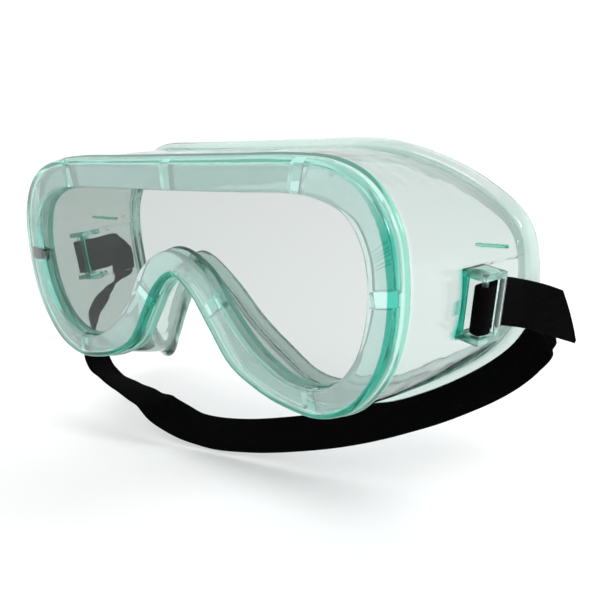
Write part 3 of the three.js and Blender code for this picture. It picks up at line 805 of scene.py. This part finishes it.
def elastic_material():
    """Black ribs in a brick pattern, with fibres over them, on the band's uv in millimetres."""
    material, nodes, links, shader = new_material("black_woven_elastic")
    coords = node(nodes, "ShaderNodeUVMap", uv_map="weave")
    swap = node(nodes, "ShaderNodeMapping")
    swap.inputs["Rotation"].default_value = (0, 0, math.pi / 2)
    links.new(coords.outputs["UV"], swap.inputs["Vector"])
    weave = node(nodes, "ShaderNodeTexBrick", Scale=1.0)
    weave.inputs["Brick Width"].default_value = 1.15
    weave.inputs["Row Height"].default_value = STRAP_WIDTH / RIBS / 2
    weave.inputs["Mortar Size"].default_value = 0.1
    weave.inputs["Mortar Smooth"].default_value = 0.9
    weave.inputs["Color1"].default_value = (0.0015, 0.0016, 0.0017, 1)
    weave.inputs["Color2"].default_value = (0.0025, 0.0026, 0.0028, 1)
    weave.inputs["Mortar"].default_value = (0.0006, 0.0006, 0.0006, 1)
    links.new(swap.outputs["Vector"], weave.inputs["Vector"])
    fibre = node(nodes, "ShaderNodeTexNoise", Scale=6.0, Detail=6.0, Roughness=0.7)
    links.new(coords.outputs["UV"], fibre.inputs["Vector"])
    mix = node(nodes, "ShaderNodeMix", data_type="RGBA", blend_type="OVERLAY")
    mix.inputs["Factor"].default_value = 0.55
    links.new(weave.outputs["Color"], mix.inputs["A"])
    links.new(fibre.outputs["Fac"], mix.inputs["B"])
    links.new(mix.outputs["Result"], shader.inputs["Base Color"])
    rough = map_range(nodes, (0, 1), (0.72, 0.95))
    links.new(fibre.outputs["Fac"], rough.inputs["Value"])
    links.new(rough.outputs["Result"], shader.inputs["Roughness"])
    shader.inputs["Sheen Weight"].default_value = 0.004
    shader.inputs["Sheen Roughness"].default_value = 0.5
    shader.inputs["Specular IOR Level"].default_value = 0.02
    height = node(nodes, "ShaderNodeMath", operation="MULTIPLY_ADD")
    height.inputs[1].default_value = -1.0
    height.inputs[2].default_value = 1.0
    links.new(weave.outputs["Fac"], height.inputs[0])
    blend = node(nodes, "ShaderNodeMath", operation="MULTIPLY_ADD")
    blend.inputs[1].default_value = 0.35
    links.new(fibre.outputs["Fac"], blend.inputs[0])
    links.new(height.outputs["Value"], blend.inputs[2])
    relief = node(nodes, "ShaderNodeBump", Strength=0.7, Distance=0.00018)
    links.new(blend.outputs["Value"], relief.inputs["Height"])
    links.new(relief.outputs["Normal"], shader.inputs["Normal"])
    return material


def thread_material():
    material, nodes, links, shader = new_material("black_sewing_thread")
    shader.inputs["Roughness"].default_value = 0.6
    twist = node(nodes, "ShaderNodeTexNoise", Scale=900.0, Detail=3.0)
    coords = node(nodes, "ShaderNodeTexCoord")
    links.new(coords.outputs["Object"], twist.inputs["Vector"])
    ramp = node(nodes, "ShaderNodeValToRGB")
    ramp.color_ramp.elements[0].color = (0.012, 0.012, 0.012, 1)
    ramp.color_ramp.elements[1].color = (0.045, 0.045, 0.045, 1)
    links.new(twist.outputs["Fac"], ramp.inputs["Fac"])
    links.new(ramp.outputs["Color"], shader.inputs["Base Color"])
    relief = node(nodes, "ShaderNodeBump", Strength=0.5, Distance=0.0001)
    links.new(twist.outputs["Fac"], relief.inputs["Height"])
    links.new(relief.outputs["Normal"], shader.inputs["Normal"])
    return material


def wear(obj, material):
    obj.data.materials.clear()
    obj.data.materials.append(material)


# ---- stitches ----

TACK_ROWS = (2.2, 3.2, 4.2)            # from the sewn end of the strip
TACK_HALF_WIDTH, TACK_POINTS, TACK_ZIGZAG = 4.3, 24, 0.35
THREAD_RADIUS, THREAD_SIDES, THREAD_LIFT = 0.14, 6, 0.02
THREAD_PROFILE = ((0.02, 0.4), (0.2, 1.0), (0.8, 1.0), (0.98, 0.4))   # share along it, of radius


def tack_line(points, widths, i):
    """A zigzag across the strap's outer face at one of its points."""
    tangent = points[i + 1] - points[i - 1]
    tangent /= np.linalg.norm(tangent)
    normal = np.cross(tangent, widths[i])
    normal /= np.linalg.norm(normal)
    across = np.cross(normal, tangent)
    outward = normal if normal[0] < 0 else -normal
    start = points[i] + outward * (STRAP_THICKNESS / 2 + THREAD_LIFT)
    steps = np.linspace(-TACK_HALF_WIDTH, TACK_HALF_WIDTH, TACK_POINTS)
    return [start + across * step + tangent * TACK_ZIGZAG * (-1) ** k
            for k, step in enumerate(steps)]


def add_thread(verts, faces, a, b):
    """One stitch from a to b: a short round thread with narrow ends."""
    axis = (b - a) / np.linalg.norm(b - a)
    one = np.cross(axis, (1, 0, 0))
    one /= np.linalg.norm(one)
    two = np.cross(axis, one)
    base, sides = len(verts), THREAD_SIDES
    for along, share in THREAD_PROFILE:
        for k in range(sides):
            angle = 2 * math.pi * k / sides
            spoke = one * math.cos(angle) + two * math.sin(angle)
            verts.append(a + (b - a) * along + spoke * THREAD_RADIUS * share)
    for face in grid_faces(len(THREAD_PROFILE), sides, ring=False):
        faces.append(tuple(base + corner for corner in face))
    faces.append(tuple(base + k for k in reversed(range(sides))))
    faces.append(tuple(len(verts) - sides + k for k in range(sides)))


def stitches(points, widths, run):
    """A bar tack through the sewn end: rows of short threads on its outer face."""
    verts, faces = [], []
    for from_end in TACK_ROWS:
        i = int(np.argmin(np.abs(run - (run[-1] - from_end))))
        line = tack_line(points, widths, i)
        for a, b in zip(line[:-1], line[1:]):
            add_thread(verts, faces, a, b)
    obj = add_mesh("strap_stitches", verts, faces)
    finish_shading(obj, 60)
    return obj


# ---- assembly ----

moulding = make_moulding()
lens_sheet = make_lens()
straps, strip_points, strip_widths, strip_run = strap_pieces()
tack = stitches(strip_points, strip_widths, strip_run)

elastic = elastic_material()
wear(moulding, vinyl_material())
wear(lens_sheet, lens_material())
wear(tack, thread_material())
for piece in straps.values():
    wear(piece, elastic)

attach(moulding, "goggles")
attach(lens_sheet, "goggles")
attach(straps["strap_loop"], "headband")
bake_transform(straps["strap_turn_right"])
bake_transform(straps["strap_turn_left"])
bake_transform(tack)
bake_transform(straps["strap_tail_end"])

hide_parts("front_rim", "wall_brow", "wall_temple_right", "wall_temple_left",
            "wall_cheek_right", "wall_cheek_left", "wall_nose_bridge",
            "strap_lug_right", "strap_lug_left")
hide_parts("lens")
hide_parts("headband")
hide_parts("strap_fold_right")
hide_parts("strap_fold_left", "strap_sewn_end")
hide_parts("strap_tail")
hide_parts("strap_tack")


# ---- floor and light ----

FLOOR_SIZE, FLOOR_BELOW = 8, 0.0015                  # metres
STUDIO_LIGHT, DIM_LIGHT = 1.02, 0.7
DIM_TOWARD, DIM_RANGE = (0.55, -0.66, 0.51), (0.25, 0.9)
SUN_STRENGTH, SUN_ANGLE, SUN_AIM = 1.1, 30, (-0.35, 0.43, -0.75)
SIDE_WATTS, SIDE_SIZE, SIDE_COLOUR = 2.2, 0.2, (0.92, 0.97, 1)
SIDE_FROM, SIDE_TO = (0.75, 0.25, 0.35), (0.05, -0.02, 0)


def make_floor():
    low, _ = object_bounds()
    bpy.ops.mesh.primitive_plane_add(size=FLOOR_SIZE, location=(0, 0, low.z - FLOOR_BELOW))
    floor = bpy.context.object
    floor.name = "floor"
    material, _, _, shader = new_material("pale_paper")
    shader.inputs["Base Color"].default_value = (0.93, 0.93, 0.93, 1)
    shader.inputs["Roughness"].default_value = 0.9
    wear(floor, material)


def make_world():
    """A white studio that is darker up behind the camera, so that clear surfaces lose light there."""
    world = bpy.data.worlds.new("studio")
    scene.world = world
    world.use_nodes = True
    nodes, links = world.node_tree.nodes, world.node_tree.links
    coords = node(nodes, "ShaderNodeTexCoord")
    facing = node(nodes, "ShaderNodeVectorMath", operation="DOT_PRODUCT")
    facing.inputs[1].default_value = DIM_TOWARD
    links.new(coords.outputs["Generated"], facing.inputs[0])
    dim = map_range(nodes, DIM_RANGE, (STUDIO_LIGHT, DIM_LIGHT), interpolation_type="SMOOTHSTEP")
    links.new(facing.outputs["Value"], dim.inputs["Value"])
    links.new(dim.outputs["Result"], nodes["Background"].inputs["Strength"])
    nodes["Background"].inputs["Color"].default_value = (1, 1, 1, 1)


def add_light(data, location, aim):
    light = bpy.data.objects.new(data.name, data)
    light.location = location
    light.rotation_mode = "QUATERNION"
    light.rotation_quaternion = aim.to_track_quat("-Z", "Y")
    scene.collection.objects.link(light)


def make_lights():
    sun = bpy.data.lights.new("key", "SUN")
    sun.energy, sun.angle = SUN_STRENGTH, math.radians(SUN_ANGLE)
    add_light(sun, (0, 0, 0), Vector(SUN_AIM))
    side = bpy.data.lights.new("side", "AREA")
    side.shape, side.size, side.energy, side.color = "DISK", SIDE_SIZE, SIDE_WATTS, SIDE_COLOUR
    add_light(side, SIDE_FROM, Vector(SIDE_TO) - Vector(SIDE_FROM))


make_floor()
make_world()
make_lights()
